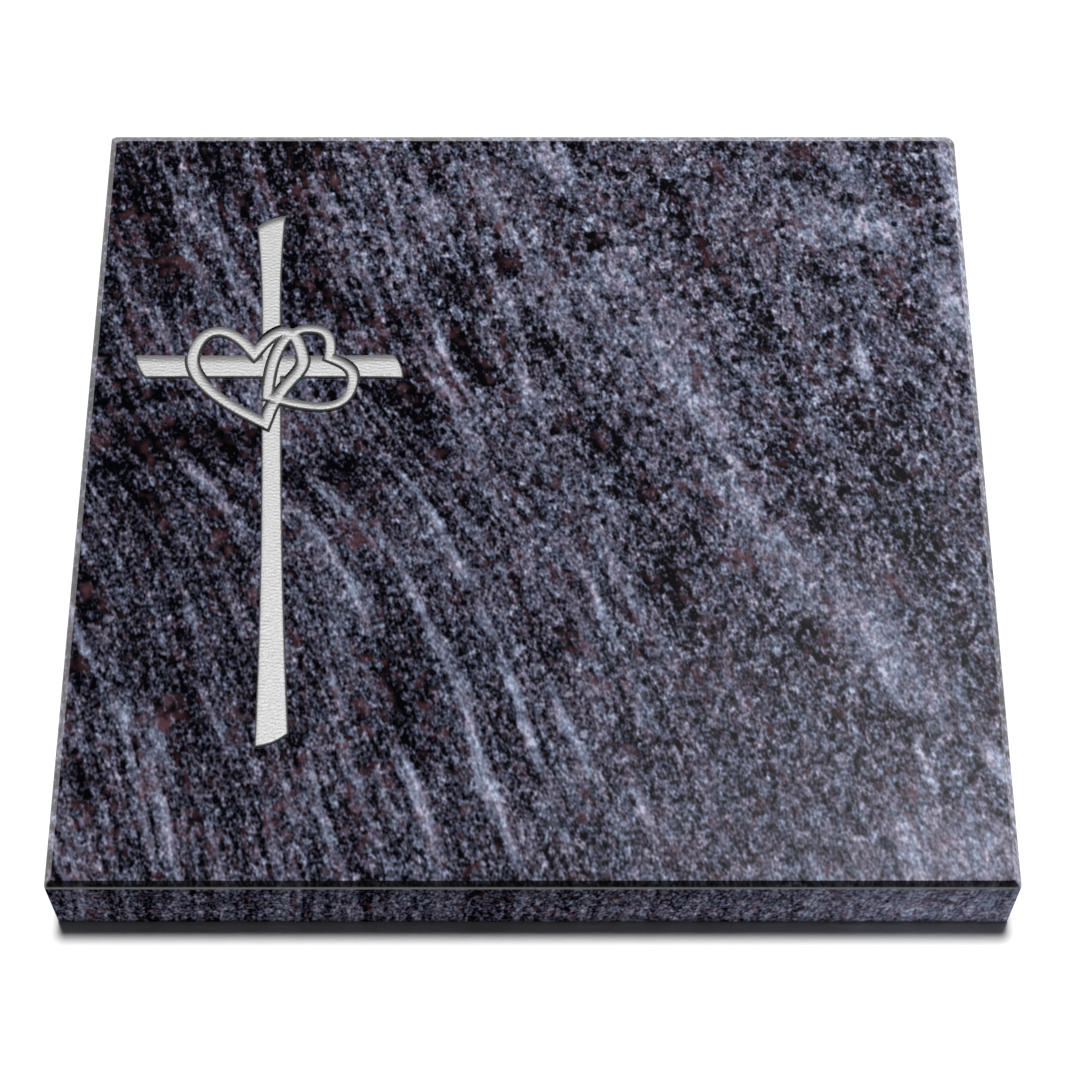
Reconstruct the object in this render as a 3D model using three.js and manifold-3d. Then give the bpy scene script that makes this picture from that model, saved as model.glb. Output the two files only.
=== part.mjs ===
// Lying grave plaque: a polished granite slab that carries a cast cross with two entwined hearts.
// Millimetres, +Z up. The origin is the middle of the slab's underside, and +Y points to the back edge.
import * as THREE from 'three';
import { mergeVertices } from 'three/addons/utils/BufferGeometryUtils.js';
import Module from 'manifold-3d';

// Slab
const SLAB_WIDTH = 400;
const SLAB_DEPTH = 380;
const SLAB_THICKNESS = 42;
const CHAMFER_DROP = 3;
const CHAMFER_RUN = { front: 2.3, side: 3.2, back: 5 };
const NO_RUN = { front: 0, side: 0, back: 0 };
const FRONT_CORNER_RADIUS = 1.5;
const BACK_LEFT_CORNER_RADIUS = 2;
const BACK_RIGHT_CORNER_RADIUS = 4.5;
const CORNER_STEPS = 3;

// Crossing of the cross's two bars, on the slab's top face
const CROSSING_X = -117.8;
const CROSSING_Y = 59;

// Bars of the cross, each measured from the crossing along the bar's own axis.
// reach is how far an end's middle is, and straight is how far the waist runs before the flare.
const UPRIGHT = {
  turn: THREE.MathUtils.degToRad(92.6),
  halfWaist: 4.5,
  slant: 2.7,
  head: { reach: 79.7, halfWidth: 6.8, straight: 30 },
  foot: { reach: 184.9, halfWidth: 7.2, straight: 40 },
};
const ARMS = {
  turn: 0,
  halfWaist: 6.1,
  slant: 2.4,
  head: { reach: 57.2, halfWidth: 6.6, straight: 30 },
  foot: { reach: 59, halfWidth: 6.3, straight: 30 },
};
const END_BULGE = 1.4;

// Hearts, measured from the crossing. Each lobe is two curves that meet at its side point:
// leave and over shape the round part from the notch, under and close shape the run down to the tip.
const LARGE_HEART = {
  band: 5.6,
  notch: [-8, 6.5],
  tip: [-1.5, -30],
  firstLobe: {
    leave: [-19.5, 22.5],
    over: [-32, 23],
    side: [-35.5, 6.5],
    under: [-38.5, -9],
    close: [-15.5, -22.5],
  },
  secondLobe: { leave: [3, 23], over: [10, 22.5], side: [14, 4.5], under: [16, -5], close: [4, -7.5] },
};
const SMALL_HEART = {
  band: 5,
  notch: [26, 4.5],
  tip: [-1, -16],
  firstLobe: { leave: [27, 13.5], over: [26, 20.5], side: [15.5, 20], under: [1.5, 19], close: [-1, -3.5] },
  secondLobe: {
    leave: [34.5, 0.5],
    over: [37.5, -2],
    side: [37, -8.5],
    under: [35, -26.5],
    close: [17, -22],
  },
};

// Relief of the casting: height above the slab, and the width and rise of the rounded edge
const CROSS_RELIEF = { height: 1.6, edgeWidth: 2.6, edgeRise: 1.2 };
const HEART_RELIEF = { height: 1.9, edgeWidth: 1.7, edgeRise: 1.2 };
const EDGE_STEPS = 3;
const FLARE_STEPS = 6;
const HEART_STEPS = 11;

// Groove that parts the hearts from the bars they lie on
const GROOVE_WIDTH = 0.7;
const GROOVE_FLOOR = 0.3;

const QUARTER_TURN = Math.PI / 2;

const wasm = await Module();
wasm.setup();

function solidFrom(geometry) {
  const bare = geometry.clone();
  bare.deleteAttribute('normal');
  const merged = mergeVertices(bare);
  const vertProperties = new Float32Array(merged.attributes.position.array);
  const triVerts = new Uint32Array(merged.index.array);
  return new wasm.Manifold(new wasm.Mesh({ numProp: 3, vertProperties, triVerts }));
}

function geometryFrom(solid) {
  const mesh = solid.getMesh();
  const geometry = new THREE.BufferGeometry();
  geometry.setAttribute('position', new THREE.BufferAttribute(mesh.vertProperties, 3));
  geometry.setIndex(new THREE.BufferAttribute(mesh.triVerts, 1));
  geometry.computeVertexNormals();
  return geometry;
}

// Closed body through rings of equally many points, each ring anticlockwise seen from the next one.
// A looped body joins its last ring to its first, and any other has a flat cap at both ends.
function loft(rings, looped) {
  const count = rings[0].length;
  const total = rings.length;
  const spans = looped ? total : total - 1;
  const indices = [];
  for (let ring = 0; ring < spans; ring += 1) {
    const here = ring * count;
    const there = ((ring + 1) % total) * count;
    for (let step = 0; step < count; step += 1) {
      const next = (step + 1) % count;
      indices.push(here + step, here + next, there + next);
      indices.push(here + step, there + next, there + step);
    }
  }
  if (!looped) {
    const last = (total - 1) * count;
    for (let step = 1; step + 1 < count; step += 1) {
      indices.push(0, step + 1, step);
      indices.push(last, last + step, last + step + 1);
    }
  }
  const geometry = new THREE.BufferGeometry().setFromPoints(rings.flat());
  geometry.setIndex(indices);
  geometry.computeVertexNormals();
  return geometry;
}

// Plan of the slab with its four rounded corners, moved in by a run of its own at the front, sides and back
function slabRing(run, height) {
  const corners = [
    { x: 1, y: 1, inset: run.back, radius: BACK_RIGHT_CORNER_RADIUS },
    { x: -1, y: 1, inset: run.back, radius: BACK_LEFT_CORNER_RADIUS },
    { x: -1, y: -1, inset: run.front, radius: FRONT_CORNER_RADIUS },
    { x: 1, y: -1, inset: run.front, radius: FRONT_CORNER_RADIUS },
  ];
  const outline = new THREE.Shape();
  corners.forEach(({ x, y, inset, radius }, index) => {
    const centreX = x * (SLAB_WIDTH / 2 - run.side - radius);
    const centreY = y * (SLAB_DEPTH / 2 - inset - radius);
    outline.absarc(centreX, centreY, radius, index * QUARTER_TURN, (index + 1) * QUARTER_TURN, false);
  });
  return outline.getPoints(CORNER_STEPS).map(({ x, y }) => new THREE.Vector3(x, y, height));
}

function slabGeometry() {
  const shoulder = SLAB_THICKNESS - CHAMFER_DROP;
  const rings = [slabRing(NO_RUN, 0), slabRing(NO_RUN, shoulder), slabRing(CHAMFER_RUN, SLAB_THICKNESS)];
  return loft(rings, false);
}

// Section of a relief, as points across and up from its base: a low wall, a rounded edge and a flat crown
function reliefSection(halfWidth, { height, edgeWidth, edgeRise }) {
  const left = [{ across: halfWidth, up: 0 }];
  for (let step = 0; step <= EDGE_STEPS; step += 1) {
    const angle = (step / EDGE_STEPS) * QUARTER_TURN;
    left.push({
      across: halfWidth - edgeWidth * (1 - Math.cos(angle)),
      up: height - edgeRise * (1 - Math.sin(angle)),
    });
  }
  const right = left.map(({ across, up }) => ({ across: -across, up })).reverse();
  return [...left, ...right];
}

// Places along one end of a bar, from where its flare begins to its tip, where the crown rounds off
function endStations(end) {
  const { edgeWidth, edgeRise } = CROSS_RELIEF;
  const crownEnd = end.reach - edgeWidth;
  const stations = [];
  for (let step = 0; step <= FLARE_STEPS; step += 1) {
    const along = end.straight + (crownEnd - end.straight) * (step / FLARE_STEPS);
    stations.push({ end, along, drop: 0 });
  }
  for (let step = 1; step <= EDGE_STEPS; step += 1) {
    const angle = (step / EDGE_STEPS) * QUARTER_TURN;
    stations.push({
      end,
      along: crownEnd + edgeWidth * Math.sin(angle),
      drop: edgeRise * (1 - Math.cos(angle)),
    });
  }
  return stations;
}

// Bar along X through the crossing: a straight waist that flares to two bulging ends, cut on one slant
function barSolid({ turn, halfWaist, slant, head, foot }) {
  const ringAt = ({ end, along, drop }, direction) => {
    const flare = ((along - end.straight) / (end.reach - end.straight)) ** 2;
    const halfWidth = halfWaist + (end.halfWidth - halfWaist) * flare;
    const { height, edgeWidth, edgeRise } = CROSS_RELIEF;
    const section = reliefSection(halfWidth, { height: height - drop, edgeWidth, edgeRise: edgeRise - drop });
    return section.map(({ across, up }) => {
      const share = across / halfWidth;
      const bulge = END_BULGE * flare * (1 - share ** 2);
      return new THREE.Vector3(direction * (along + bulge) - slant * share, across, up);
    });
  };
  const footRings = endStations(foot).map((station) => ringAt(station, -1)).reverse();
  const headRings = endStations(head).map((station) => ringAt(station, 1));
  return solidFrom(loft([...footRings, ...headRings], false).rotateZ(turn));
}

// Middle line of a heart's band, anticlockwise from the notch round both lobes
function heartLine({ notch, tip, firstLobe, secondLobe }) {
  const line = new THREE.Path();
  line.moveTo(...notch);
  line.bezierCurveTo(...firstLobe.leave, ...firstLobe.over, ...firstLobe.side);
  line.bezierCurveTo(...firstLobe.under, ...firstLobe.close, ...tip);
  line.bezierCurveTo(...secondLobe.close, ...secondLobe.under, ...secondLobe.side);
  line.bezierCurveTo(...secondLobe.over, ...secondLobe.leave, ...notch);
  return line.getPoints(HEART_STEPS).slice(0, -1);
}

// Section carried round a heart's middle line, mitred at the notch and the tip
function heartSolid(heart, section) {
  const line = heartLine(heart);
  const rings = line.map((point, index) => {
    const arriving = point.clone().sub(line.at(index - 1)).normalize();
    const leaving = line[(index + 1) % line.length].clone().sub(point).normalize();
    const along = arriving.clone().add(leaving).normalize();
    const mitre = 1 / along.dot(leaving);
    return section.map(({ across, up }) => {
      const reach = across * mitre;
      return new THREE.Vector3(point.x - along.y * reach, point.y + along.x * reach, up);
    });
  });
  return solidFrom(loft(rings, true));
}

function grooveSection(halfWidth) {
  const top = GROOVE_FLOOR + HEART_RELIEF.height;
  return [
    { across: halfWidth, up: GROOVE_FLOOR },
    { across: halfWidth, up: top },
    { across: -halfWidth, up: top },
    { across: -halfWidth, up: GROOVE_FLOOR },
  ];
}

// One casting: the bars, grooved along the hearts' edges, with the hearts joined on over them
function emblemGeometry() {
  const hearts = [LARGE_HEART, SMALL_HEART];
  let casting = barSolid(UPRIGHT).add(barSolid(ARMS));
  for (const heart of hearts) {
    casting = casting.subtract(heartSolid(heart, grooveSection(heart.band / 2 + GROOVE_WIDTH)));
  }
  for (const heart of hearts) {
    casting = casting.add(heartSolid(heart, reliefSection(heart.band / 2, HEART_RELIEF)));
  }
  return geometryFrom(casting);
}

const granite = new THREE.MeshStandardMaterial({ color: 0x4c4b57, roughness: 0.15, metalness: 0 });
const slab = new THREE.Mesh(slabGeometry(), granite);
slab.name = 'granite_slab';

const castMetal = new THREE.MeshStandardMaterial({ color: 0xdedfe2, roughness: 0.4, metalness: 0.9 });
const emblem = new THREE.Mesh(emblemGeometry(), castMetal);
emblem.name = 'cross_with_hearts';
emblem.position.set(CROSSING_X, CROSSING_Y, SLAB_THICKNESS);

const plaque = new THREE.Group();
plaque.add(slab, emblem);

export default plaque;
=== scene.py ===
"""Looks of a lying grave plaque: a polished granite slab with a cast cross and two entwined hearts."""
import math

import bpy
import numpy as np
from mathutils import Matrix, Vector
from mathutils.geometry import delaunay_2d_cdt


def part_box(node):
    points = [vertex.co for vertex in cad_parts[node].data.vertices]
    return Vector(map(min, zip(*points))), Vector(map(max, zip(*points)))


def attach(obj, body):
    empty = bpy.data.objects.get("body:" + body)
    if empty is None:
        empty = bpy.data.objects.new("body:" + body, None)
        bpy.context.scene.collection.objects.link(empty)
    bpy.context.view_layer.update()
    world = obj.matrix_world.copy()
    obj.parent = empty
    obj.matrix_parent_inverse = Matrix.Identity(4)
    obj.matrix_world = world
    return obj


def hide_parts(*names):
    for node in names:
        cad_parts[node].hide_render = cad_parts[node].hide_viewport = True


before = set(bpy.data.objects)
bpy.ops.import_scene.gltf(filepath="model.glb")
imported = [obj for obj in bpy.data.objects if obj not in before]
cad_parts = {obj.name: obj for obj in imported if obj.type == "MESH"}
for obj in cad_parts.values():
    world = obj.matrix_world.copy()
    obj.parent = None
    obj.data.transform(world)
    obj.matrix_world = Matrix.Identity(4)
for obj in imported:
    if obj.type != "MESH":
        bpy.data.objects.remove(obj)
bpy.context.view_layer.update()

MM = 0.001
SEED = 7

# Slab, in millimetres. Its width, depth and thickness come from the frame.
_, SLAB_HIGH = (np.array(corner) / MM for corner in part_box("granite_slab"))
HALF_WIDTH, HALF_DEPTH, THICKNESS = SLAB_HIGH
CHAMFER_DROP = 3.0
CHAMFER_RUN = {"front": 2.3, "side": 3.2, "back": 5.0}
SHOULDER_RADIUS = 2.4
FOOT_RADIUS = 0.7
CORNER_STEPS = 8
ROUNDING_STEPS = 5

# Upright corners of the slab, anticlockwise: side x and y, radius
SLAB_CORNERS = [(1, 1, 4.5), (-1, 1, 2.0), (-1, -1, 1.5), (1, -1, 1.5)]

# Share of the texture square, for each millimetre of the slab, and where its faces lie in that square
FACE_SHARE = 0.00185
UNDERSIDE_SHARE = 0.0006
UNDERSIDE_PLACE = (0.752, 0.72)
SIDE_PLACES = {"front": (0.0, 0.715), "back": (0.0, 0.805), "left": (0.0, 0.895), "right": (0.75, 0.0)}

# Bars of the emblem, in millimetres from their crossing. reach is how far an end's middle is, and straight
# how far the waist runs before the flare. back_slope is how wide the crown slopes at an edge on the back.
CROSSING = (-117.8, 59.0)
UPRIGHT = {
    "turn": math.radians(92.6),
    "waist": 4.5,
    "slant": 2.7,
    "back_slope": 4.7,
    "head": {"reach": 79.7, "half_width": 6.8, "straight": 30.0},
    "foot": {"reach": 184.9, "half_width": 7.2, "straight": 40.0},
}
ARMS = {
    "turn": 0.0,
    "waist": 6.1,
    "slant": 2.4,
    "back_slope": 5.3,
    "head": {"reach": 57.2, "half_width": 6.6, "straight": 30.0},
    "foot": {"reach": 59.0, "half_width": 6.3, "straight": 30.0},
}
END_BULGE = 1.4

# Hearts, from the same crossing. A band's middle line is four curves: from the notch to a side, to the tip,
# to the other side and back to the notch.
LARGE_HEART = {
    "band": 5.6,
    "curves": [
        [(-8, 6.5), (-19.5, 22.5), (-32, 23), (-35.5, 6.5)],
        [(-35.5, 6.5), (-38.5, -9), (-15.5, -22.5), (-1.5, -30)],
        [(-1.5, -30), (4, -7.5), (16, -5), (14, 4.5)],
        [(14, 4.5), (10, 22.5), (3, 23), (-8, 6.5)],
    ],
}
SMALL_HEART = {
    "band": 5.0,
    "curves": [
        [(26, 4.5), (27, 13.5), (26, 20.5), (15.5, 20)],
        [(15.5, 20), (1.5, 19), (-1, -3.5), (-1, -16)],
        [(-1, -16), (17, -22), (35, -26.5), (37, -8.5)],
        [(37, -8.5), (37.5, -2), (34.5, 0.5), (26, 4.5)],
    ],
}

# Points along each curve, and the share of it that is one straight step at the notch or the tip
CURVE_STEPS = 50
CORNER_GAP = 0.11

# Groove that parts the hearts from the bars
GROOVE_WIDTH = 0.7
GROOVE_FLOOR = 0.3

# Relief of the casting: its height, what its edges fall in all, and the narrow lip where they fall steeply.
# The crown slopes away over a width and by a drop that are largest at edges which face the back.
CROSS_RELIEF = {"height": 1.6, "rise": 1.5, "lip": 0.5}
HEART_RELIEF = {"height": 1.9, "rise": 1.6, "lip": 0.5}
CROWN_BACK_DROP = 1.5
CROWN_SIDE = (2.2, 0.2)
CROWN_FRONT = (1.3, 0.25)
HEART_BACK_SLOPE = 3.6

# Mesh of the casting: steps along its outlines, a row of points inside its edges, and the grid of its crown
OUTLINE_STEP = 0.5
EDGE_ROW = 0.25
GRID_X = 0.6
GRID_Y = 0.3
GRID_CLEARANCE = 0.17

# Rounds that find a point's place along a bar, the distance at which points join, the kind of triangles,
# and the angle from which an edge is sharp
PLACING_ROUNDS = 3
WELD_DISTANCE = 1e-5
ALL_TRIANGLES = 0
SHARP_ANGLE = math.radians(50.0)

# Order of the plan's outlines: both bars, then the outer edges of the hearts and of the grooves.
# The inner edge comes right after each outer one.
BAR_OUTLINES = (0, 1)
HEART_OUTLINES = (2, 4)
GROOVE_OUTLINES = (6, 8)

# Wrinkles of the cast skin: how many waves, their pitch, lean in degrees and height, and the fade at an edge
WRINKLE_WAVES = 40
WRINKLE_PITCH = (1.2, 2.2)
WRINKLE_LEAN = 18.0
WRINKLE_HEIGHT = 0.03
WRINKLE_FADE = 0.8

# Flow of the stone: streaks lean to the left on their way to the back, and most of all at one bend
FLOW_LEAN = 0.33
BEND_PLACE = 5.0
BEND_LENGTH = 45.0
BEND_REACH = 22.0
FLOW_DIP = -0.08
WANDER_SIZE = (18.0, 36.0, 36.0)
WANDER_REACH = 8.0
RAGGED_SIZE = (3.0, 5.0, 5.0)
RAGGED_REACH = 3.5

# Pale streaks: place x and y, direction in degrees, half length, half width, lift.
# The last three are broad, soft patches.
PALE_STREAKS = [
    (-90, -7, -37, 21, 5.1, 0.26),
    (-69, -27, -52, 23, 5.9, 0.3),
    (-51, -57, -65, 30, 4.4, 0.3),
    (-38, -86, -66, 28, 4.4, 0.26),
    (-27, -116, -74, 32, 3.7, 0.3),
    (-19, -146, -70, 21, 5.9, 0.3),
    (-10, -167, -73, 25, 3.7, 0.28),
    (-42, -20, -60, 16, 4.4, 0.28),
    (-32, -42, -60, 18, 4.4, 0.3),
    (-92, -32, -58, 21, 5.1, 0.18),
    (-74, -58, -62, 28, 6.6, 0.19),
    (-97, -68, -62, 25, 4.4, 0.23),
    (-78, -110, -66, 32, 4.4, 0.16),
    (-67, -100, -70, 16, 3.7, 0.21),
    (-52, -138, -66, 21, 3.7, 0.26),
    (-44, -160, -70, 30, 3.7, 0.3),
    (-20, -68, -70, 16, 3.7, 0.19),
    (-8, -100, -65, 16, 3.7, 0.3),
    (-2, -122, -72, 25, 3.7, 0.25),
    (-172, -113, -55, 18, 5.9, 0.26),
    (-161, -134, -68, 29, 11, 0.3),
    (-150, -166, -71, 32, 6.6, 0.26),
    (-132, -118, -62, 30, 2.8, 0.26),
    (-188, -28, -80, 18, 6.6, 0.14),
    (-192, -84, -70, 16, 5.1, 0.18),
    (16, -121, -67, 37, 3.7, 0.3),
    (9, -163, -68, 23, 4.4, 0.25),
    (28, -58, -72, 32, 3.7, 0.19),
    (45, -112, -70, 18, 4.4, 0.21),
    (45, -154, -72, 18, 3.7, 0.23),
    (87, -105, -68, 25, 3, 0.21),
    (92, -10, -40, 29, 15.4, 0.19),
    (112, -42, -50, 42, 22, 0.14),
    (147, -76, -62, 33, 15.4, 0.23),
    (158, -100, -35, 37, 16.5, 0.19),
    (163, -132, -77, 25, 3, 0.3),
    (193, -133, -60, 18, 5.9, 0.21),
    (155, -170, -75, 30, 6.6, 0.18),
    (178, -172, 0, 40, 20, 0.08),
    (-169, 163, -62, 18, 3.7, 0.28),
    (-159, 142, -58, 25, 3.7, 0.25),
    (-146, 131, -58, 21, 3.7, 0.21),
    (-135, 104, -62, 34, 5.1, 0.23),
    (-187, 108, -66, 25, 3.7, 0.23),
    (-173, 82, -58, 21, 4.4, 0.23),
    (-93, 146, -58, 28, 3, 0.23),
    (-72, 174, -60, 29, 15.4, 0.16),
    (-52, 148, -50, 33, 19.8, 0.18),
    (-20, 160, -60, 33, 15.4, 0.16),
    (-13, 93, 20, 18, 13.2, 0.18),
    (-41, 70, -78, 16, 3.7, 0.21),
    (-42, 50, -45, 18, 3.7, 0.25),
    (-31, 31, -66, 23, 4.4, 0.26),
    (-3, 48, -62, 21, 5.1, 0.3),
    (6, 172, -50, 26, 13.2, 0.26),
    (38, 108, -76, 44, 15.4, 0.16),
    (58, 72, -70, 29, 15.4, 0.19),
    (72, 42, -48, 29, 15.4, 0.25),
    (88, 12, -60, 16, 4.4, 0.26),
    (126, 132, -60, 18, 6.6, 0.18),
    (150, 137, -15, 29, 13.2, 0.25),
    (143, 172, -70, 21, 5.9, 0.16),
    (184, 146, 10, 23, 4.4, 0.18),
    (196, 150, -86, 57, 5.9, 0.25),
    (192, 96, -80, 33, 12.1, 0.25),
    (149, 61, -80, 21, 5.1, 0.28),
    (191, 68, -65, 16, 3.7, 0.21),
    (38, -90, 90, 140, 50, 0.06),
    (45, -160, 0, 45, 35, 0.08),
    (-75, -158, 0, 55, 40, 0.11),
]

# Dark pools, in the same way. The last two are broad, soft patches.
DARK_POOLS = [
    (-169, -9, 20, 16, 10.5, 0.3),
    (-191, -56, -80, 20, 9.5, 0.22),
    (-190, -95, -60, 20, 9.5, 0.17),
    (-147, -112, -62, 39, 9.5, 0.16),
    (-190, -142, -60, 21, 9.5, 0.19),
    (-56, -100, -68, 48, 13.7, 0.1),
    (-98, -112, -78, 25, 7.4, 0.14),
    (71, -28, -75, 14, 8.4, 0.3),
    (53, -42, -65, 29, 12.6, 0.22),
    (64, -70, -65, 34, 13.7, 0.17),
    (106, -15, 60, 12, 7.4, 0.28),
    (126, -18, -80, 16, 7.4, 0.25),
    (13, -76, -80, 23, 9.5, 0.17),
    (118, -76, -60, 19, 10.5, 0.17),
    (152, -117, -20, 17, 8.4, 0.2),
    (168, -26, -75, 48, 17.9, 0.14),
    (46, -4, 0, 17, 9.5, 0.22),
    (-187, 154, -68, 34, 10.5, 0.2),
    (-168, 120, -62, 34, 8.4, 0.17),
    (-146, 170, -65, 29, 11.6, 0.16),
    (-110, 172, -55, 25, 10.5, 0.16),
    (-104, 112, -70, 44, 13.7, 0.2),
    (-88, 92, -20, 32, 10.5, 0.23),
    (-58, 84, -60, 16, 11.6, 0.2),
    (-34, 104, -60, 19, 10.5, 0.23),
    (-11, 116, -60, 13, 9.5, 0.3),
    (-30, 72, -70, 16, 12.6, 0.3),
    (-21, 55, -30, 16, 11.6, 0.3),
    (-60, 44, -20, 29, 13.7, 0.29),
    (-46, 24, -60, 21, 15.8, 0.25),
    (-82, 8, 10, 42, 16.8, 0.25),
    (-166, 44, 10, 32, 9.5, 0.22),
    (-166, 22, 10, 36, 15.8, 0.29),
    (-138, 16, 10, 29, 14.7, 0.25),
    (-182, 6, 0, 19, 11.6, 0.22),
    (28, 127, -10, 17, 7.4, 0.3),
    (62, 157, -60, 16, 8.4, 0.22),
    (78, 126, -70, 46, 14.7, 0.16),
    (104, 78, -72, 55, 12.6, 0.17),
    (40, 92, -60, 15, 8.4, 0.23),
    (6, 68, -60, 16, 10.5, 0.23),
    (30, 20, -60, 23, 14.7, 0.23),
    (115, 12, -60, 16, 10.5, 0.19),
    (135, 112, -60, 23, 12.6, 0.17),
    (130, 166, -10, 16, 7.4, 0.22),
    (173, 160, -65, 21, 7.4, 0.22),
    (170, 88, -58, 30, 8.4, 0.2),
    (148, 24, -62, 48, 15.8, 0.17),
    (168, 40, -60, 27, 14.7, 0.13),
    (88, 172, -60, 36, 15.8, 0.12),
    (-100, 190, 0, 170, 65, 0.15),
    (-195, 120, 90, 90, 70, 0.12),
]

# Nests of garnets: place x and y, half size
NESTS = [
    (10, 111, 15),
    (-16, 136, 10),
    (-93, 160, 12),
    (101, 128, 14),
    (165, 110, 11),
    (75, 56, 9),
    (156, -50, 11),
    (94, -38, 13),
    (30, 22, 8),
    (-192, 20, 9),
    (-134, -33, 11),
    (-78, -28, 9),
    (-154, -113, 12),
    (-192, -160, 12),
]

# Lightness of the stone, as a share of white to the eye: at the front left, what it gains to the back right,
# and a paler corner with its place, half sizes and lift
STONE_LIGHTNESS = 0.235
STONE_GAIN = 0.125
PALE_CORNER = ((190, -195), (180, 95), 0.17)

# Streaks that fill the stone: size across, along and down, sway of the lightness at the left and the right
FINE_STREAKS = [
    (2.6, 45.0, 90.0, 0.48, 0.15),
    (6.5, 70.0, 90.0, 0.32, 0.14),
]

# Grain of the stone: size across, along and down, sway of the lightness at front left and at back right
GRAIN_TURN = math.radians(-75.0)
GRAIN_LAYERS = [
    (1.15, 1.7, 2.4, 0.62, 0.72),
    (2.0, 3.2, 4.4, 0.50, 0.62),
    (3.6, 5.4, 9.0, 0.20, 0.40),
]
BLOT_SIZE = (3.6, 4.8, 4.8)
BLOT_RANGE = (0.58, 0.70)
BLOT_DEPTH = 0.22

# Grain is calmer in pale stone: lightness from and to, and the grain's strength at both
CALM = (0.22, 0.50, 1.12, 0.62)

# Colours of the stone's minerals from darkest to palest, with the lightness that each stands for
MINERALS = [
    (0.00, (0.0006, 0.0006, 0.0014)),
    (0.05, (0.0024, 0.0023, 0.0041)),
    (0.12, (0.0093, 0.0088, 0.0145)),
    (0.20, (0.0231, 0.0213, 0.0330)),
    (0.28, (0.0440, 0.0420, 0.0610)),
    (0.35, (0.0709, 0.0693, 0.0982)),
    (0.43, (0.1100, 0.1080, 0.1490)),
    (0.58, (0.2260, 0.2300, 0.2970)),
    (0.73, (0.4400, 0.4400, 0.5300)),
]

# Tints of the stone in soft patches, a region that is bluer than the rest, and red garnets
HUE_SIZE = (5.0, 10.0, 10.0)
HUE_RANGE = (0.3, 0.7)
BLUE_REGION_SHARE = 0.12
BLUE_TINT = (0.89, 1.01, 1.09, 1.0)
BLUE_REGION = ((-45, -95), (50, 110))
PLUM_TINT = (1.05, 0.98, 1.03, 1.0)
GARNET_COLOUR = (0.085, 0.034, 0.042, 1.0)
GARNET_SIZE = (4.0, 5.0, 5.0)
GARNET_RANGE = (0.51, 1.38)
GARNET_DRIFT_SIZE = (14.0, 30.0, 30.0)
GARNET_DRIFT = 0.5
NEST_SHARE = 0.42

# Finishes of the stone: name, roughness where palest and where darkest, tone at foot and top, and sheen. The
# tones are painted light and shade.
STONE_FINISHES_AND_PAINTED_TONES = [
    ("granite_polished", (0.045, 0.07), (1.0, 1.0), {"IOR": 1.45}),
    # Front chamfer: its tone darkens it as painted shade
    ("granite_front_edge_painted_shade", (0.05, 0.09), (0.16, 0.16), {"IOR": 1.65}),
    # Side and back chamfers: their tone lightens them as painted light
    ("granite_edge_painted_light", (0.05, 0.09), (1.6, 1.6), {"IOR": 1.8}),
    # Walls: their tone lightens them towards the foot as painted light against the shade near the floor
    ("granite_side_painted_foot_light", (0.45, 0.6), (1.9, 1.0), {"Specular IOR Level": 0.0}),
]
TOP_SLOT, FRONT_EDGE_SLOT, EDGE_SLOT, SIDE_SLOT, UNDERSIDE_SLOT = range(5)

# Lightness that counts as darkest and as palest for the roughness, and the grit of these finishes
GLOSS_LIGHTNESS = (0.1, 0.6)
POLISH_GRIT = {"sizes": (0.9, 0.9, 0.9), "detail": 2.0, "roughness": 0.6}

# Underside: arcs of the saw, grit and dust
SAW_PITCH = (26.0, 26.0, 26.0)
SAW_ARCS = {"Scale": 1.0, "Distortion": 2.0, "Detail": 2.0}
SAW_SHARE = 0.6
SAWN_GRIT = {"sizes": (1.2, 1.2, 1.2), "detail": 3.0, "roughness": 0.7}
SAWN_ROUGHNESS = (0.65, 0.9)
DUST_SHARE = 0.45
DUST_COLOUR = (0.13, 0.13, 0.14, 1.0)

# Metal, and the near black painted into its grooves as painted shade
METAL_SLOT, GROOVE_SHADE_SLOT = range(2)
METAL_MOTTLE = {"sizes": (3.2, 1.4, 2.0), "detail": 3.0, "roughness": 0.6}
METAL_COLOURS = ((0.33, 0.33, 0.33, 1.0), (0.38, 0.38, 0.38, 1.0))
METAL_GRAIN = {"sizes": (0.5, 0.3, 0.4), "detail": 2.0}
METAL_ROUGHNESS = (0.60, 0.68)
GROOVE_SHADE_SPECKS = {"sizes": (0.4, 0.4, 0.4), "detail": 2.0}
GROOVE_SHADE_COLOURS = ((0.006, 0.006, 0.007, 1.0), (0.022, 0.021, 0.021, 1.0))
GROOVE_SHADE_ROUGHNESS = (0.7, 0.9)

# Fine bumps of each skin: strength, and height in metres
POLISH_BUMP = (0.03, 0.0004)
SAWN_BUMP = (0.3, 0.0006)
METAL_BUMP = (0.25, 0.0001)
GROOVE_SHADE_BUMP = (0.3, 0.0001)

# Middle of a noise's values, and those between which a roughness changes
NOISE_MIDDLE = 0.5
NOISE_SPAN = (0.3, 0.7)

# Camera and light
CAMERA_PLACE = (0.0, -0.59718, 1.08809)
CAMERA_PITCH = math.radians(28.48)
CAMERA_LENS = 91.09
CAMERA_SENSOR = 36.0
CAMERA_SHIFT = 0.00667
SUN_TILT = math.radians(11.8)
SUN_SPREAD = math.radians(11.0)
SUN_STRENGTH = 4.0
FLOOR_HALF = 8.0
FLOOR_ALBEDO = 0.9
ROOM_LIGHT = 0.03
LOWEST_GLOW = 0.3

# Softboxes overhead: middle and half size, sideways and back as shares of their height, and light
SOFTBOXES = [
    ((0.24, 0.36), (0.26, 0.26), 1.9),
    ((0.20, 0.60), (0.25, 0.40), 0.15),
]

# Sockets of a mixing node that carry colours, and how far a patch goes on up and down
MIX_FIRST, MIX_SECOND, MIX_RESULT = 6, 7, 2
PATCH_HEIGHT = 1e6


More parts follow.
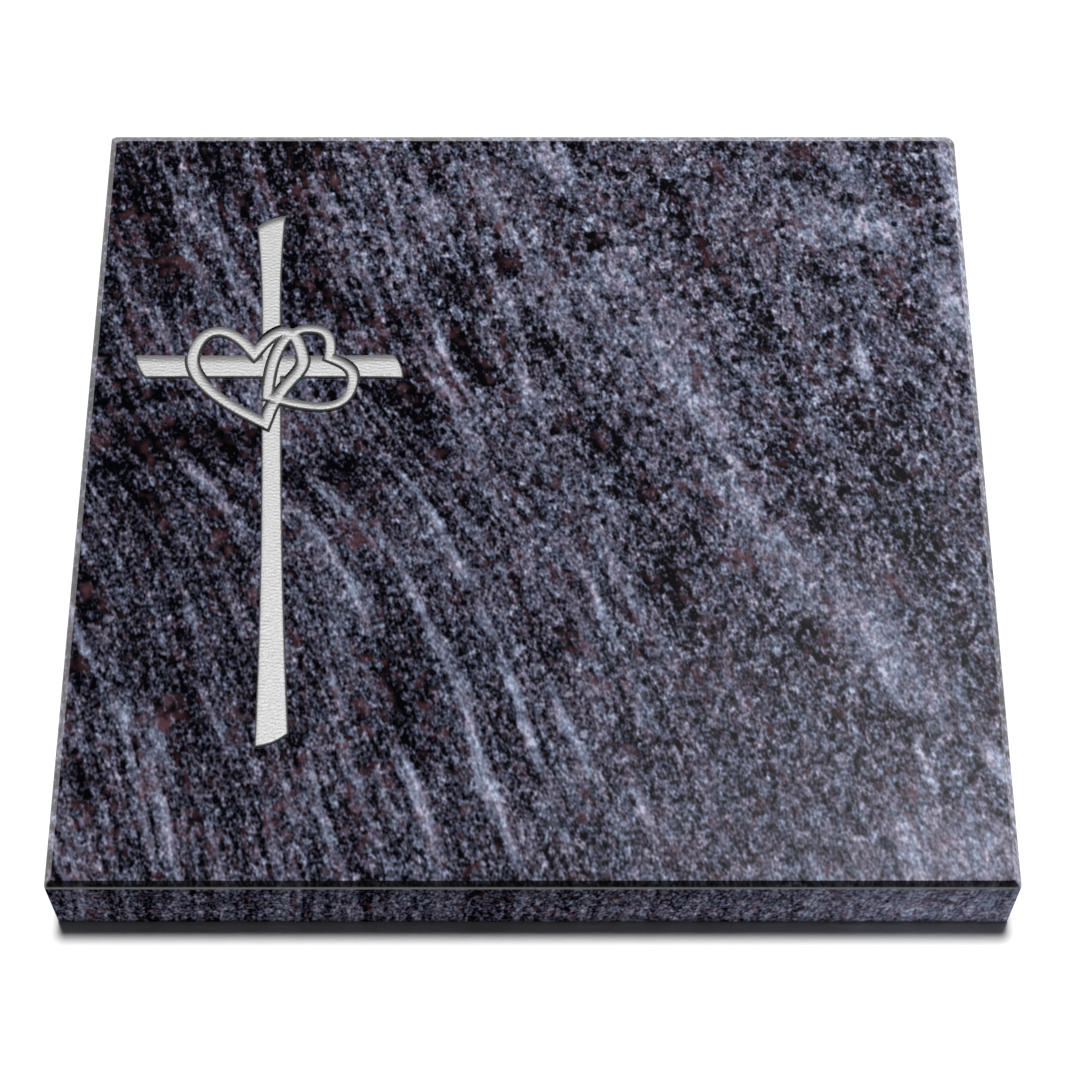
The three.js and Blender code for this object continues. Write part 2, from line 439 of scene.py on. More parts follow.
class Graph:
    """A node tree, where each call adds a node and gives what comes out of it."""

    def __init__(self, tree):
        self.tree = tree
        tree.nodes.clear()

    def feed(self, socket, value):
        if isinstance(value, bpy.types.NodeSocket):
            self.tree.links.new(value, socket)
        else:
            socket.default_value = value

    def node(self, kind, inputs, **settings):
        made = self.tree.nodes.new(kind)
        for name, value in settings.items():
            setattr(made, name, value)
        for socket, value in inputs.items():
            self.feed(made.inputs[socket], value)
        return made

    def math(self, operation, *values):
        return self.node("ShaderNodeMath", dict(enumerate(values)), operation=operation).outputs[0]

    def scaled(self, value, factor, shift=0.0):
        return self.math("MULTIPLY_ADD", value, factor, shift)

    def total(self, *values):
        running = values[0]
        for value in values[1:]:
            running = self.math("ADD", running, value)
        return running

    def smooth(self, value, start, end, low=0.0, high=1.0):
        inputs = {"Value": value, "From Min": start, "From Max": end, "To Min": low, "To Max": high}
        return self.node("ShaderNodeMapRange", inputs, interpolation_type="SMOOTHSTEP").outputs["Result"]

    def vector(self, x, y, z):
        return self.node("ShaderNodeCombineXYZ", {"X": x, "Y": y, "Z": z}).outputs[0]

    def parts(self, vector):
        return self.node("ShaderNodeSeparateXYZ", {0: vector}).outputs

    def millimetres(self):
        place = self.node("ShaderNodeTexCoord", {}).outputs["Object"]
        return self.node("ShaderNodeVectorMath", {0: place, "Scale": 1 / MM}, operation="SCALE").outputs[0]

    def stretched(self, vector, sizes):
        """Vector in units of sizes, moved so that the slab's top face lies midway between two units."""
        inputs = {0: vector, 1: [1 / size for size in sizes], 2: (0.0, 0.0, 0.5 - THICKNESS / sizes[2] % 1)}
        return self.node("ShaderNodeVectorMath", inputs, operation="MULTIPLY_ADD").outputs[0]

    def noise(self, vector, sizes, detail=0.0, roughness=0.5, output="Fac"):
        place = self.stretched(vector, sizes)
        inputs = {"Vector": place, "Scale": 1.0, "Detail": detail, "Roughness": roughness}
        return self.node("ShaderNodeTexNoise", inputs).outputs[output]

    def patch(self, vector, centre, sizes, turn=0.0):
        """Share of an oval patch that is the same at all heights: 1 in its middle and 0 at its rim."""
        made = self.node("ShaderNodeTexGradient", {"Vector": vector}, gradient_type="SPHERICAL")
        made.texture_mapping.vector_type = "TEXTURE"
        made.texture_mapping.translation = (*centre, 0.0)
        made.texture_mapping.rotation = (0.0, 0.0, turn)
        made.texture_mapping.scale = (*sizes, PATCH_HEIGHT)
        return made.outputs["Fac"]

    def mixed(self, share, first, second, blend="MIX"):
        made = self.node("ShaderNodeMix", {"Factor": share}, data_type="RGBA", blend_type=blend)
        self.feed(made.inputs[MIX_FIRST], first)
        self.feed(made.inputs[MIX_SECOND], second)
        return made.outputs[MIX_RESULT]

    def bump(self, height, strength, distance):
        inputs = {"Height": height, "Strength": strength, "Distance": distance}
        return self.node("ShaderNodeBump", inputs).outputs["Normal"]

    def surface(self, inputs):
        shader = self.node("ShaderNodeBsdfPrincipled", inputs)
        output = self.node("ShaderNodeOutputMaterial", {})
        self.tree.links.new(shader.outputs[0], output.inputs["Surface"])


def new_material(name):
    material = bpy.data.materials.new(name)
    material.use_nodes = True
    return material, Graph(material.node_tree)


def flow_nodes(graph, x, y):
    """Number that stays the same along each streak, from the place in the stone."""
    bend = graph.math("TANH", graph.scaled(y, 1 / BEND_LENGTH, -BEND_PLACE / BEND_LENGTH))
    return graph.total(x, graph.scaled(y, FLOW_LEAN), graph.scaled(bend, BEND_REACH))


def swayed(graph, running, vector, layers, share):
    """Lightness with layers of noise added, where share blends each layer's first sway into its second."""
    for *sizes, first_sway, second_sway in layers:
        noise = graph.math("SUBTRACT", graph.noise(vector, sizes), NOISE_MIDDLE)
        sway = graph.scaled(share, second_sway - first_sway, first_sway)
        running = graph.math("MULTIPLY_ADD", noise, sway, running)
    return running


def broad_nodes(graph, place, flow, backness):
    """Lightness without the grain: its trend from front left to back right, its streaks and its pools."""
    running = graph.scaled(backness, STONE_GAIN, STONE_LIGHTNESS)
    centre, sizes, glow = PALE_CORNER
    running = graph.math("MULTIPLY_ADD", graph.patch(place, centre, sizes), glow, running)
    pools = [(*pool[:5], -pool[5]) for pool in DARK_POOLS]
    for patch_x, patch_y, direction, half_length, half_width, lift in PALE_STREAKS + pools:
        share = graph.patch(place, (patch_x, patch_y), (half_length, half_width), math.radians(direction))
        running = graph.math("MULTIPLY_ADD", share, lift, running)
    rightness = graph.smooth(graph.parts(place)[0], -HALF_WIDTH / 2, HALF_WIDTH / 2)
    return swayed(graph, running, flow, FINE_STREAKS, rightness)


def lightness_nodes(graph, place, flow, grain):
    """Lightness of the stone, with a grain that is calmer where the stone is pale."""
    x, y, _ = graph.parts(place)
    backness = graph.smooth(graph.math("ADD", x, y), -HALF_WIDTH, HALF_DEPTH)
    broad = broad_nodes(graph, place, flow, backness)
    blots = graph.smooth(graph.noise(grain, BLOT_SIZE), *BLOT_RANGE)
    blotted = graph.math("MULTIPLY", blots, graph.math("MULTIPLY", backness, -BLOT_DEPTH))
    speckle = swayed(graph, blotted, grain, GRAIN_LAYERS, backness)
    return graph.math("MULTIPLY_ADD", speckle, graph.smooth(broad, *CALM), broad)


def mineral_nodes(graph, lightness):
    ramp = graph.node("ShaderNodeValToRGB", {0: lightness})
    stops = ramp.color_ramp.elements
    while len(stops) < len(MINERALS):
        stops.new(1.0)
    for stop, (position, colour) in zip(stops, MINERALS):
        stop.position = position
        stop.color = (*colour, 1.0)
    return ramp.outputs["Color"]


def garnet_nodes(graph, place, grain):
    """Share of red garnet: single crystals all over, and many more in the nests."""
    nests = 0.0
    for nest_x, nest_y, half_size in NESTS:
        share = graph.patch(place, (nest_x, nest_y), (half_size, half_size))
        nests = graph.math("ADD", share, nests)
    crystals = graph.noise(grain, GARNET_SIZE)
    drift = graph.scaled(graph.noise(grain, GARNET_DRIFT_SIZE), GARNET_DRIFT, -GARNET_DRIFT / 2)
    richness = graph.total(crystals, drift, graph.scaled(nests, NEST_SHARE))
    return graph.smooth(richness, *GARNET_RANGE)


def granite_nodes(graph):
    """Colour and lightness of the stone at any place in it."""
    solid = graph.millimetres()
    x, y, z = graph.parts(solid)
    dipped = graph.total(x, graph.scaled(z, FLOW_DIP, -FLOW_DIP * THICKNESS))
    wander = graph.scaled(graph.noise(solid, WANDER_SIZE, detail=1.0), WANDER_REACH, -WANDER_REACH / 2)
    flow = graph.vector(graph.total(flow_nodes(graph, dipped, y), wander), y, z)
    cosine = math.cos(GRAIN_TURN)
    sine = math.sin(GRAIN_TURN)
    grain_across = graph.total(graph.scaled(dipped, -sine), graph.scaled(y, cosine))
    grain_along = graph.total(graph.scaled(dipped, cosine), graph.scaled(y, sine))
    grain = graph.vector(grain_across, grain_along, z)

    ragged = graph.noise(solid, RAGGED_SIZE, detail=1.0, output="Color")
    inputs = {0: ragged, 1: (RAGGED_REACH,) * 3, 2: graph.vector(dipped, y, z)}
    place = graph.node("ShaderNodeVectorMath", inputs, operation="MULTIPLY_ADD").outputs[0]
    shift = (-RAGGED_REACH / 2,) * 3
    place = graph.node("ShaderNodeVectorMath", {0: place, 1: shift}, operation="ADD").outputs[0]

    lightness = lightness_nodes(graph, place, flow, grain)
    blueness = graph.patch(place, *BLUE_REGION)
    hue = graph.math("MULTIPLY_ADD", blueness, -BLUE_REGION_SHARE, graph.noise(flow, HUE_SIZE))
    tint = graph.mixed(graph.smooth(hue, *HUE_RANGE), BLUE_TINT, PLUM_TINT)
    colour = graph.mixed(1.0, mineral_nodes(graph, lightness), tint, "MULTIPLY")
    garnets = garnet_nodes(graph, place, grain)
    colour = graph.mixed(garnets, colour, GARNET_COLOUR)
    return colour, lightness, solid


def stone_material(name, gloss, painted_tones, sheen):
    """Granite with a finish: gloss is its roughness where pale and dark, and its colour is scaled from foot
    to top by a painted tone of light or shade.
    """
    material, graph = new_material(name)
    colour, lightness, solid = granite_nodes(graph)
    # Painted light and shade: colour scaled from foot to top, wherever the tone is not 1
    painted_tone = graph.smooth(graph.parts(solid)[2], 0.0, THICKNESS, *painted_tones)
    grit = graph.noise(solid, **POLISH_GRIT)
    surface = {
        "Base Color": graph.mixed(1.0, colour, graph.vector(painted_tone, painted_tone, painted_tone), "MULTIPLY"),
        "Roughness": graph.smooth(lightness, *GLOSS_LIGHTNESS, *reversed(gloss)),
        "Normal": graph.bump(grit, *POLISH_BUMP),
        **sheen,
    }
    graph.surface(surface)
    return material


def sawn_material():
    """Underside of the slab: dull, dusty stone with the arcs of the saw."""
    material, graph = new_material("granite_sawn")
    colour, _, solid = granite_nodes(graph)
    place = graph.stretched(solid, SAW_PITCH)
    arcs = graph.node("ShaderNodeTexWave", {"Vector": place, **SAW_ARCS}, bands_direction="X").outputs["Fac"]
    grit = graph.noise(solid, **SAWN_GRIT)
    relief = graph.math("ADD", graph.scaled(arcs, SAW_SHARE), graph.scaled(grit, 1 - SAW_SHARE))
    surface = {
        "Base Color": graph.mixed(DUST_SHARE, colour, DUST_COLOUR),
        "Roughness": graph.smooth(grit, *NOISE_SPAN, *SAWN_ROUGHNESS),
        "Normal": graph.bump(relief, *SAWN_BUMP),
    }
    graph.surface(surface)
    return material


def metal_material():
    """Bright cast aluminium with a dull, finely wrinkled skin."""
    material, graph = new_material("cast_aluminium")
    solid = graph.millimetres()
    mottle = graph.noise(solid, **METAL_MOTTLE)
    grain = graph.noise(solid, **METAL_GRAIN)
    surface = {
        "Base Color": graph.mixed(mottle, *METAL_COLOURS),
        "Metallic": 1.0,
        "Roughness": graph.smooth(grain, *NOISE_SPAN, *METAL_ROUGHNESS),
        "Normal": graph.bump(grain, *METAL_BUMP),
    }
    graph.surface(surface)
    return material


def groove_shade_material():
    """Near black painted into the grooves along the hearts as painted shade, with faint specks."""
    material, graph = new_material("groove_painted_shade")
    specks = graph.noise(graph.millimetres(), **GROOVE_SHADE_SPECKS)
    surface = {
        "Base Color": graph.mixed(specks, *GROOVE_SHADE_COLOURS),
        "Roughness": graph.smooth(specks, *NOISE_SPAN, *GROOVE_SHADE_ROUGHNESS),
        "Normal": graph.bump(specks, *GROOVE_SHADE_BUMP),
    }
    graph.surface(surface)
    return material


def mesh_object(name, points, faces, materials, slots):
    """Object from points in millimetres, faces and the number of each face's material."""
    mesh = bpy.data.meshes.new(name)
    mesh.from_pydata((np.array(points) * MM).tolist(), [], faces)
    for material in materials:
        mesh.materials.append(material)
    mesh.polygons.foreach_set("material_index", slots)
    mesh.polygons.foreach_set("use_smooth", [True] * len(faces))
    made = bpy.data.objects.new(name, mesh)
    bpy.context.scene.collection.objects.link(made)
    return made


def slab_profile(run):
    """Profile of the slab on one side, from its foot to its top face, as inset, height and outward tilt."""
    chamfer = math.atan2(run, CHAMFER_DROP)
    shoulder = THICKNESS - CHAMFER_DROP - SHOULDER_RADIUS * math.tan(chamfer / 2)
    rows = []
    for height, radius, start, end in (
        (FOOT_RADIUS, FOOT_RADIUS, -math.pi / 2, 0.0),
        (shoulder, SHOULDER_RADIUS, 0.0, chamfer),
    ):
        for tilt in np.linspace(start, end, ROUNDING_STEPS + 1):
            rows.append((radius - radius * math.cos(tilt), height + radius * math.sin(tilt), tilt))
    return np.array([*rows, (run, THICKNESS, chamfer)])


def slab_rings():
    """Points of the slab, ring by ring from its foot, with the outward direction at each point."""
    profiles = {side: slab_profile(run) for side, run in CHAMFER_RUN.items()}
    points = []
    outward = []
    for row in range(len(profiles["side"])):
        for quarter, (side_x, side_y, radius) in enumerate(SLAB_CORNERS):
            flank = profiles["side"][row]
            face = profiles["back" if side_y > 0 else "front"][row]
            centre_x = side_x * (HALF_WIDTH - flank[0] - radius)
            centre_y = side_y * (HALF_DEPTH - face[0] - radius)
            for angle in np.linspace(quarter, quarter + 1, CORNER_STEPS + 1) * math.pi / 2:
                share = math.sin(angle) ** 2
                _, height, tilt = flank + (face - flank) * share
                across, along = math.cos(angle), math.sin(angle)
                points.append((centre_x + radius * across, centre_y + radius * along, height))
                outward.append((across * math.cos(tilt), along * math.cos(tilt), math.sin(tilt)))
    return np.array(points), np.array(outward)


def side_of(direction):
    if abs(direction[0]) > abs(direction[1]):
        return "right" if direction[0] > 0 else "left"
    return "back" if direction[1] > 0 else "front"


def side_texture(side, point, climb):
    """Place in the texture square of a point on one side of the slab, climb along its profile."""
    place = SIDE_PLACES[side]
    if side == "right":
        return place[0] + climb * FACE_SHARE, place[1] + (point[1] + HALF_DEPTH) * FACE_SHARE
    run = point[1] + HALF_DEPTH if side == "left" else point[0] + HALF_WIDTH
    return place[0] + run * FACE_SHARE, place[1] + climb * FACE_SHARE


def build_slab():
    points, outward = slab_rings()
    count = len(SLAB_CORNERS) * (CORNER_STEPS + 1)
    rings = len(points) // count
    steps = np.diff(slab_profile(CHAMFER_RUN["side"])[:, :2], axis=0)
    climbs = np.concatenate([[0.0], np.cumsum(np.linalg.norm(steps, axis=1))])
    wall_outward = outward[ROUNDING_STEPS * count:]
    faces = []
    slots = []
    texture = []
    normals = []
    for ring in range(rings - 1):
        wall = ring <= ROUNDING_STEPS
        for step in range(count):
            following = (step + 1) % count
            face = [ring * count + step, ring * count + following]
            face += [(ring + 1) * count + following, (ring + 1) * count + step]
            side = side_of(wall_outward[step] + wall_outward[following])
            # The front chamfer takes the finish with painted shade, the other chamfers the one with painted
            # light
            edge = FRONT_EDGE_SLOT if side == "front" else EDGE_SLOT
            faces.append(face)
            slots.append(SIDE_SLOT if wall else edge)
            normals.extend(outward[face])
            texture.extend(side_texture(side, points[corner], climbs[corner // count]) for corner in face)

    top = list(range((rings - 1) * count, rings * count))
    faces.append(top)
    slots.append(TOP_SLOT)
    normals.extend([(0.0, 0.0, 1.0)] * count)
    texture.extend((points[top][:, :2] + (HALF_WIDTH, HALF_DEPTH)) * FACE_SHARE)
    under = list(reversed(range(count)))
    faces.append(under)
    slots.append(UNDERSIDE_SLOT)
    normals.extend([(0.0, 0.0, -1.0)] * count)
    texture.extend((points[under][:, :2] + (HALF_WIDTH, HALF_DEPTH)) * UNDERSIDE_SHARE + UNDERSIDE_PLACE)

    materials = [*(stone_material(*finish) for finish in STONE_FINISHES_AND_PAINTED_TONES), sawn_material()]
    slab = mesh_object("polished_slab", points, faces, materials, slots)
    layer = slab.data.uv_layers.new(name="OFBake")
    layer.data.foreach_set("uv", np.array(texture).ravel())
    slab.data.normals_split_custom_set(normals)
    return slab


def bar_half_width(bar, along):
    """Half width of a bar at places along it, and how much of its flare each place has."""
    end = np.where(along > 0, 1, 0)
    straight = np.array([bar["foot"]["straight"], bar["head"]["straight"]])[end]
    reach = np.array([bar["foot"]["reach"], bar["head"]["reach"]])[end]
    wide = np.array([bar["foot"]["half_width"], bar["head"]["half_width"]])[end]
    flare = np.clip((np.abs(along) - straight) / (reach - straight), 0, None) ** 2
    return bar["waist"] + (wide - bar["waist"]) * flare, flare


def turned(points, angle):
    turn = np.array([[math.cos(angle), math.sin(angle)], [-math.sin(angle), math.cos(angle)]])
    return points @ turn


def bar_outline(bar, inset):
    """Plan of a bar moved in by inset, anticlockwise."""
    head = bar["head"]["reach"] - inset
    foot = -bar["foot"]["reach"] + inset
    steps = int((head - foot) / OUTLINE_STEP)
    run = np.linspace(head, foot, steps)
    half, _ = bar_half_width(bar, run)
    shares = 1 - inset / half
    end_steps = int(2 * half[0] / OUTLINE_STEP)
    foot_shares = np.linspace(shares[-1], -shares[-1], end_steps)[1:-1]
    head_shares = np.linspace(-shares[0], shares[0], end_steps)[1:-1]
    along = np.concatenate([run, np.full(end_steps - 2, foot), run[::-1], np.full(end_steps - 2, head)])
    share = np.concatenate([shares, foot_shares, -shares[::-1], head_shares])
    half, flare = bar_half_width(bar, along)
    x = along + np.sign(along) * END_BULGE * flare * (1 - share**2) - bar["slant"] * share
    return turned(np.stack([x, share * half], axis=1), bar["turn"])


def heart_line(heart):
    """Middle line of a heart's band, anticlockwise, with one straight step at the notch and at the tip."""
    from_corner = np.concatenate([[0.0], np.linspace(CORNER_GAP, 1.0, CURVE_STEPS)])
    to_corner = np.concatenate([np.linspace(0.0, 1.0 - CORNER_GAP, CURVE_STEPS), [1.0]])
    line = []
    for curve, steps in zip(heart["curves"], [from_corner, to_corner, from_corner, to_corner]):
        start, leave, arrive, end = np.array(curve, float)
        step = steps[:-1, None]
        line.append(
            (1 - step) ** 3 * start
            + 3 * (1 - step) ** 2 * step * leave
            + 3 * (1 - step) * step**2 * arrive
            + step**3 * end
        )
    return np.concatenate(line)


def unit(vectors):
    return vectors / np.linalg.norm(vectors, axis=-1, keepdims=True)


def beside(line, distance):
    """Closed line moved to its left by distance, with mitred corners."""
    leaving = unit(np.roll(line, -1, axis=0) - line)
    arriving = np.roll(leaving, 1, axis=0)
    along = unit(arriving + leaving)
    reach = distance / np.sum(along * leaving, axis=1, keepdims=True)
    return line + np.stack([-along[:, 1], along[:, 0]], axis=1) * reach


def crown_slope(back_slope, facing):
    """Width and drop of the crown's slope at an edge, from how far the edge faces the back, from -1 to 1."""
    towards_back = np.maximum(facing, 0)[..., None]
    towards_front = np.maximum(-facing, 0)[..., None]
    side = np.array(CROWN_SIDE)
    back = np.array([back_slope, CROWN_BACK_DROP])
    slope = side + (back - side) * towards_back + (np.array(CROWN_FRONT) - side) * towards_front
    return slope[..., 0], slope[..., 1]


def edge_drop(relief, back_slope, distance, facing):
    width, drop = crown_slope(back_slope, np.asarray(facing, float))
    crown = np.clip(1 - distance / width, 0, 1) ** 2
    lip = np.clip(1 - distance / relief["lip"], 0, 1) ** 2
    return drop * crown + (relief["rise"] - drop) * lip


def relief_height(relief, back_slope, edges):
    """Height of a relief with edges given as distance and facing."""
    drops = [edge_drop(relief, back_slope, distance, facing) ** 2 for distance, facing in edges]
    return relief["height"] - np.minimum(np.sqrt(sum(drops)), relief["rise"])


def bar_edges(bar, points):
    """Distance to a bar's four edges, each with how far it faces the back."""
    x, y = turned(points, -bar["turn"]).T
    share = y / bar["waist"]
    along = x + bar["slant"] * share
    for _ in range(PLACING_ROUNDS):
        half, flare = bar_half_width(bar, along)
        share = y / half
        along = x + bar["slant"] * share - np.sign(along) * END_BULGE * flare * (1 - np.minimum(share**2, 1))
    across = math.cos(bar["turn"])
    lengthways = math.sin(bar["turn"])
    return [
        (half * (1 - share), across),
        (half * (1 + share), -across),
        (bar["head"]["reach"] - along, lengthways),
        (bar["foot"]["reach"] + along, -lengthways),
    ]


def heart_edges(heart, line, points):
    """Distance to a heart band's inner and outer edge, each with how far it faces the back."""
    span = np.roll(line, -1, axis=0) - line
    direction = unit(span)
    left = np.stack([-direction[:, 1], direction[:, 0]], axis=1)
    offset = points[:, None, :] - line[None, :, :]
    share = np.clip(np.sum(offset * span, axis=2) / np.sum(span * span, axis=1), 0, 1)
    gap = offset - share[:, :, None] * span
    nearest = np.argmin(np.sum(gap * gap, axis=2), axis=1)
    rows = np.arange(len(points))
    place = share[rows, nearest]
    neighbour = (nearest + np.where(place > 0, 1, -1)) % len(line)
    sides = np.sum(offset * left, axis=2)
    at_corner = (place == 0) | (place == 1)
    mitred = at_corner & (np.abs(sides[rows, neighbour]) > np.abs(sides[rows, nearest]))
    owner = np.where(mitred, neighbour, nearest)
    side = sides[rows, owner]
    facing = left[owner, 1]
    return [(heart["band"] / 2 - side, facing), (heart["band"] / 2 + side, -facing)]


def depth_in(edges):
    return np.min([distance for distance, _ in edges], axis=0)


def wrinkles(points):
    """Fine crossways wrinkles of the cast skin, as a height at each point."""
    draw = np.random.RandomState(SEED)
    pitch = draw.uniform(*WRINKLE_PITCH, WRINKLE_WAVES)
    lean = np.radians(draw.normal(90.0, WRINKLE_LEAN, WRINKLE_WAVES))
    phase = draw.uniform(0, 2 * math.pi, WRINKLE_WAVES)
    waves = np.stack([np.cos(lean), np.sin(lean)]) * 2 * math.pi / pitch
    return np.cos(points @ waves + phase).sum(axis=1) * WRINKLE_HEIGHT / math.sqrt(WRINKLE_WAVES / 2)


class EmblemPlan:
    """Plan of the emblem, with the depth and the height of any place in it."""

    def __init__(self):
        self.bars = [UPRIGHT, ARMS]
        self.hearts = [LARGE_HEART, SMALL_HEART]
        self.lines = [heart_line(heart) for heart in self.hearts]

    def outlines(self):
        """Closed outlines: both bars, then both hearts' outer and inner edges, then the grooves' edges."""
        loops = [bar_outline(bar, 0.0) for bar in self.bars]
        for widening in (0.0, GROOVE_WIDTH):
            for heart, line in zip(self.hearts, self.lines):
                reach = heart["band"] / 2 + widening
                loops += [beside(line, -reach), beside(line, reach)]
        return loops

    def edge_rows(self):
        """Closed rows of points just inside the edges."""
        rows = [bar_outline(bar, EDGE_ROW) for bar in self.bars]
        for heart, line in zip(self.hearts, self.lines):
            reach = heart["band"] / 2 - EDGE_ROW
            rows += [beside(line, -reach), beside(line, reach)]
        return rows

    def near_hearts(self, points):
        margin = 2 * LARGE_HEART["band"]
        low = np.min([line.min(axis=0) for line in self.lines], axis=0) - margin
        high = np.max([line.max(axis=0) for line in self.lines], axis=0) + margin
        return np.all((points > low) & (points < high), axis=1)

    def grid(self):
        """Points inside the emblem, clear of its edges, grooves and edge rows."""
        loops = np.concatenate(self.outlines())
        low, high = loops.min(axis=0), loops.max(axis=0)
        columns = np.arange(low[0], high[0], GRID_X)
        rows = np.arange(low[1], high[1], GRID_Y)
        x, y = np.meshgrid(columns, rows)
        x[1::2] += GRID_X / 2
        points = np.stack([x.ravel(), y.ravel()], axis=1)
        cross = np.stack([depth_in(bar_edges(bar, points)) for bar in self.bars])
        near = self.near_hearts(points)
        hearts = np.full((len(self.hearts), len(points)), -np.inf)
        for index, (heart, line) in enumerate(zip(self.hearts, self.lines)):
            hearts[index, near] = depth_in(heart_edges(heart, line, points[near]))
        inside = np.maximum(cross.max(axis=0), hearts.max(axis=0)) > GRID_CLEARANCE
        for depths in (cross, cross - EDGE_ROW, hearts, hearts - EDGE_ROW, hearts + GROOVE_WIDTH):
            inside &= np.all(np.abs(depths) > GRID_CLEARANCE, axis=0)
        return points[inside]

    def cross_height(self, points):
        heights = []
        for bar in self.bars:
            edges = bar_edges(bar, points)
            depth = depth_in(edges)
            fade = np.clip(depth / WRINKLE_FADE, 0, 1)
            height = relief_height(CROSS_RELIEF, bar["back_slope"], edges) + fade * wrinkles(points)
            heights.append(np.where(depth > -EDGE_ROW, height, -np.inf))
        return np.max(heights, axis=0)

    def heart_height(self, points):
        heights = []
        for heart, line in zip(self.hearts, self.lines):
            edges = heart_edges(heart, line, points)
            fade = np.clip(depth_in(edges) / WRINKLE_FADE, 0, 1)
            heights.append(relief_height(HEART_RELIEF, HEART_BACK_SLOPE, edges) + fade * wrinkles(points))
        return np.max(heights, axis=0)

    def groove_height(self, points):
        return np.full(len(points), GROOVE_FLOOR)


def closed_run(start, count):
    """Edges of a closed row of points."""
    return [(start + step, start + (step + 1) % count) for step in range(count)]


def region_of(owners):
    """Region of a plan triangle from the outlines that hold it: heart, groove, cross or None."""
    def in_band(outer):
        return outer in owners and outer + 1 not in owners

    if any(in_band(outer) for outer in HEART_OUTLINES):
        return "heart"
    if any(bar in owners for bar in BAR_OUTLINES):
        return "groove" if any(in_band(outer) for outer in GROOVE_OUTLINES) else "cross"
    return None


def plan_triangles(plan):
    """Places in the emblem's plan, and the triangles between them for each region."""
    points = []
    outlines = []
    rows = []
    for loop in plan.outlines():
        outlines.append(list(range(len(points), len(points) + len(loop))))
        points.extend(loop)
    for row in plan.edge_rows():
        rows += closed_run(len(points), len(row))
        points.extend(row)
    points.extend(plan.grid())
    corners = [Vector(point) for point in points]
    layout = delaunay_2d_cdt(corners, rows, outlines, ALL_TRIANGLES, WELD_DISTANCE)
    places, _, triangles, _, _, holders = layout
    regions = {"heart": [], "groove": [], "cross": []}
    for triangle, owners in zip(triangles, holders):
        region = region_of(owners)
        if region:
            regions[region].append(triangle)
    return np.array(places), regions


def build_emblem():
    """One closed mesh: the top of each region, walls between regions of different height, and a flat base."""
    plan = EmblemPlan()
    places, regions = plan_triangles(plan)
    heights = {"heart": plan.heart_height, "groove": plan.groove_height, "cross": plan.cross_height}
    vertices = []
    copies = {}
    faces = []
    slots = []
    beside_edge = {}

    def add_copies(name, used, height):
        for corner, up in zip(used, height):
            copies.setdefault(corner, {})[name] = len(vertices)
            x, y = places[corner] + CROSSING
            vertices.append((x, y, THICKNESS + up))

    everything = sorted({corner for group in regions.values() for triangle in group for corner in triangle})
    add_copies("base", everything, np.zeros(len(everything)))
    for region, triangles in regions.items():
        used = sorted({corner for triangle in triangles for corner in triangle})
        add_copies(region, used, heights[region](places[used]))
        for triangle in triangles:
            faces.append([copies[corner][region] for corner in triangle])
            faces.append([copies[corner]["base"] for corner in reversed(triangle)])
            # Groove floors take the painted shade
            slots += [GROOVE_SHADE_SLOT if region == "groove" else METAL_SLOT, METAL_SLOT]
            for corner, following in zip(triangle, [*triangle[1:], triangle[0]]):
                beside_edge[corner, following] = region

    def between(corner, low, high):
        levels = sorted((vertices[index][2], index) for index in copies[corner].values())
        floor, ceiling = vertices[low][2], vertices[high][2]
        return [index for up, index in levels if floor < up < ceiling]

    for (corner, following), region in beside_edge.items():
        other = beside_edge.get((following, corner), "base")
        if other == region or other != "base" and region == "groove":
            continue
        low = copies[corner][other], copies[following][other]
        high = copies[corner][region], copies[following][region]
        wall = [low[0], low[1], *between(following, low[1], high[1]), high[1], high[0]]
        wall += reversed(between(corner, low[0], high[0]))
        faces.append(wall)
        # Walls down to a groove floor take the painted shade too
        slots.append(GROOVE_SHADE_SLOT if other == "groove" else METAL_SLOT)
    emblem = mesh_object("cast_emblem", vertices, faces, [metal_material(), groove_shade_material()], slots)
    emblem.data.set_sharp_from_angle(angle=SHARP_ANGLE)
    return emblem


def build_floor():
    corners = [(-1, -1), (1, -1), (1, 1), (-1, 1)]
    mesh = bpy.data.meshes.new("floor")
    mesh.from_pydata([(x * FLOOR_HALF, y * FLOOR_HALF, 0.0) for x, y in corners], [], [[0, 1, 2, 3]])
    material, graph = new_material("white_floor")
    albedo = (FLOOR_ALBEDO, FLOOR_ALBEDO, FLOOR_ALBEDO, 1.0)
    graph.surface({"Base Color": albedo, "Roughness": 1.0, "Specular IOR Level": 0.0})
    mesh.materials.append(material)
    floor = bpy.data.objects.new("floor", mesh)
    bpy.context.scene.collection.objects.link(floor)
    return floor


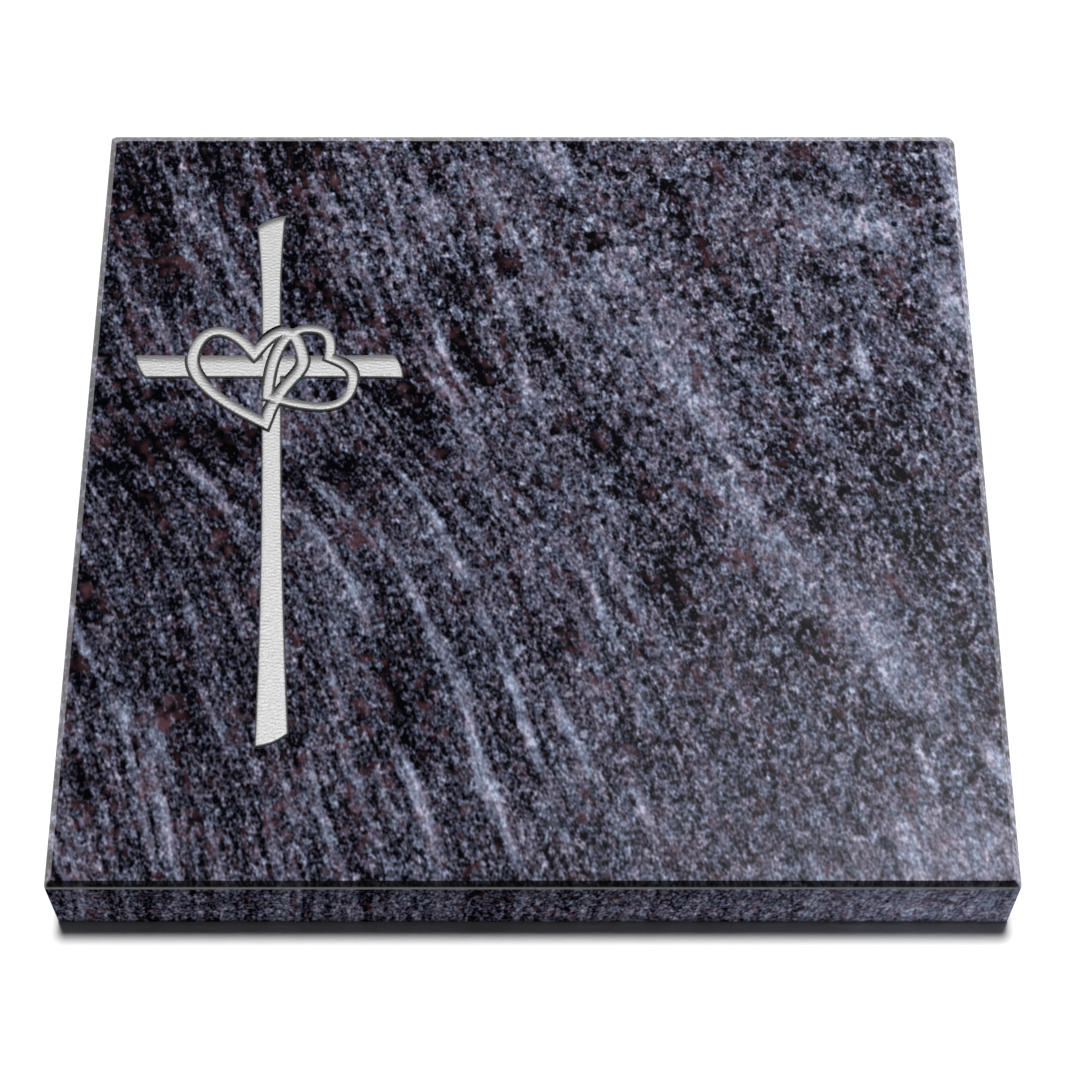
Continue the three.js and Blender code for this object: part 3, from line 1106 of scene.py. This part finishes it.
def build_key(name):
    """Wide soft light from just behind the zenith."""
    key = bpy.data.lights.new(name, "SUN")
    key.energy = SUN_STRENGTH
    key.angle = SUN_SPREAD
    lamp = bpy.data.objects.new(name, key)
    lamp.rotation_euler = (-SUN_TILT, 0.0, 0.0)
    bpy.context.scene.collection.objects.link(lamp)
    return lamp


def build_light(metal):
    """Key light that only the metal mirrors, in a dim room with softboxes that the polish mirrors too."""
    key = build_key("key")
    key.visible_glossy = False
    gleam = build_key("gleam")
    gleam.visible_diffuse = False
    mirrors = bpy.data.collections.new("mirrors")
    mirrors.objects.link(metal)
    gleam.light_linking.receiver_collection = mirrors

    world = bpy.data.worlds.new("studio")
    world.use_nodes = True
    bpy.context.scene.world = world
    graph = Graph(world.node_tree)
    x, y, z = graph.parts(graph.node("ShaderNodeTexCoord", {}).outputs["Generated"])
    height = graph.math("MAXIMUM", z, LOWEST_GLOW)
    overhead = graph.vector(graph.math("DIVIDE", x, height), graph.math("DIVIDE", y, height), 0.0)
    strength = ROOM_LIGHT
    for centre, sizes, light in SOFTBOXES:
        strength = graph.math("MULTIPLY_ADD", graph.patch(overhead, centre, sizes), light, strength)
    background = graph.node("ShaderNodeBackground", {"Color": (1.0, 1.0, 1.0, 1.0), "Strength": strength})
    output = graph.node("ShaderNodeOutputWorld", {})
    graph.feed(output.inputs["Surface"], background.outputs[0])


def build_camera():
    lens = bpy.data.cameras.new("camera")
    lens.lens = CAMERA_LENS
    lens.sensor_width = CAMERA_SENSOR
    lens.shift_x = CAMERA_SHIFT
    camera = bpy.data.objects.new("camera", lens)
    camera.location = CAMERA_PLACE
    camera.rotation_euler = (CAMERA_PITCH, 0.0, 0.0)
    bpy.context.scene.collection.objects.link(camera)
    bpy.context.scene.camera = camera
    bpy.context.scene.view_settings.view_transform = "Standard"


build_camera()
build_floor()

slab = build_slab()
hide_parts("granite_slab")
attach(slab, "root")

emblem = build_emblem()
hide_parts("cross_with_hearts")
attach(emblem, "root")
build_light(emblem)
